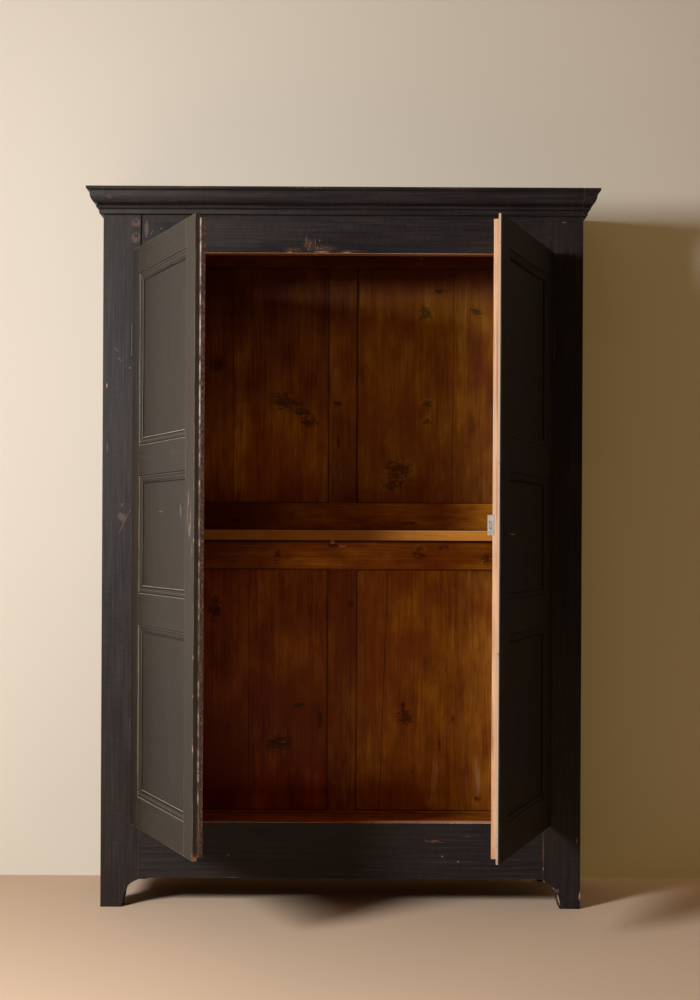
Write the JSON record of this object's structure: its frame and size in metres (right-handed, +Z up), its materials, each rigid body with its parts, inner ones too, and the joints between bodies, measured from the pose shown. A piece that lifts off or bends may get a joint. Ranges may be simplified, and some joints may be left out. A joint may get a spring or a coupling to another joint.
{
  "type": "wardrobe",
  "caption": "Free-standing framed pine wardrobe on bracket feet, with panelled lock doors, a shelf and a moulded cornice, painted black outside.",
  "frame": {"origin": "on the floor, below the centre of the object's box with the doors open as in the picture", "axes": "+Z up; -Y is the front, where the doors are; +X is to the right of someone facing the doors"},
  "size_m": [1.416, 0.985, 1.99],
  "materials": {
    "black_painted_pine": "worn black paint, satin, over orange-brown pine",
    "varnished_pine": "old orange-brown varnish, satin",
    "forged_iron": "dark forged iron, painted over in places",
    "lock_steel": "grey worn steel"
  },
  "bodies": {
    "carcass": {"front_left_post": "black_painted_pine", "front_right_post": "black_painted_pine", "frieze_rail": "black_painted_pine", "front_bottom_rail": "black_painted_pine", "rear_left_post": "black_painted_pine", "rear_right_post": "black_painted_pine", "left_side_bottom_rail": "black_painted_pine", "left_side_mid_rail": "black_painted_pine", "left_side_top_rail": "black_painted_pine", "left_side_lower_panel": "black_painted_pine", "left_side_upper_panel": "black_painted_pine", "right_side_bottom_rail": "black_painted_pine", "right_side_mid_rail": "black_painted_pine", "right_side_top_rail": "black_painted_pine", "right_side_lower_panel": "black_painted_pine", "right_side_upper_panel": "black_painted_pine", "back_bottom_rail": "varnished_pine", "back_mid_rail": "varnished_pine", "back_top_rail": "varnished_pine", "back_lower_muntin": "varnished_pine", "back_upper_muntin": "varnished_pine", "back_lower_left_panel": "varnished_pine", "back_lower_right_panel": "varnished_pine", "back_upper_left_panel": "varnished_pine", "back_upper_right_panel": "varnished_pine", "floor_board": "varnished_pine", "shelf": "varnished_pine", "top_board": "varnished_pine", "cornice_front": "black_painted_pine", "cornice_left": "black_painted_pine", "cornice_right": "black_painted_pine", "left_lower_hinge_frame_half": "forged_iron", "left_upper_hinge_frame_half": "forged_iron", "right_lower_hinge_frame_half": "forged_iron", "right_upper_hinge_frame_half": "forged_iron"},
    "left_door": {"left_door_hinge_stile": "black_painted_pine", "left_door_meeting_stile": "black_painted_pine", "left_door_bottom_rail": "black_painted_pine", "left_door_lower_rail": "black_painted_pine", "left_door_upper_rail": "black_painted_pine", "left_door_top_rail": "black_painted_pine", "left_door_bottom_panel": "black_painted_pine", "left_door_middle_panel": "black_painted_pine", "left_door_top_panel": "black_painted_pine", "left_lower_hinge_door_half": "forged_iron", "left_upper_hinge_door_half": "forged_iron"},
    "right_door": {"right_door_hinge_stile": "black_painted_pine", "right_door_meeting_stile": "black_painted_pine", "right_door_bottom_rail": "black_painted_pine", "right_door_lower_rail": "black_painted_pine", "right_door_upper_rail": "black_painted_pine", "right_door_top_rail": "black_painted_pine", "right_door_bottom_panel": "black_painted_pine", "right_door_middle_panel": "black_painted_pine", "right_door_top_panel": "black_painted_pine", "right_lower_hinge_door_half": "forged_iron", "right_upper_hinge_door_half": "forged_iron", "lock_case": "lock_steel"},
    "lock_bolt": {"lock_bolt": "lock_steel"},
    "left_door_hook": {"left_door_hook": "forged_iron"}
  },
  "joints": [
    {"name": "left_door_hinge", "type": "hinge", "parent": "carcass", "child": "left_door", "pos_m": [-0.582, 0.06053, 1.025], "axis": [0, 0, -1], "range_deg": [-67.3, 102.7]},
    {"name": "right_door_hinge", "type": "hinge", "parent": "carcass", "child": "right_door", "pos_m": [0.582, 0.06053, 1.025], "axis": [0, 0, 1], "range_deg": [-70.7, 99.3]},
    {"name": "lock_bolt_slide", "type": "slide", "parent": "right_door", "child": "lock_bolt", "axis": [-0.3305, -0.9438, 0], "range_m": [0, 0.012]},
    {"name": "left_door_hook_swing", "type": "hinge", "parent": "left_door", "child": "left_door_hook", "pos_m": [-0.34199, -0.44067, 1.0045], "axis": [0.3859, -0.9225, 0], "range_deg": [0, 90]}
  ]
}
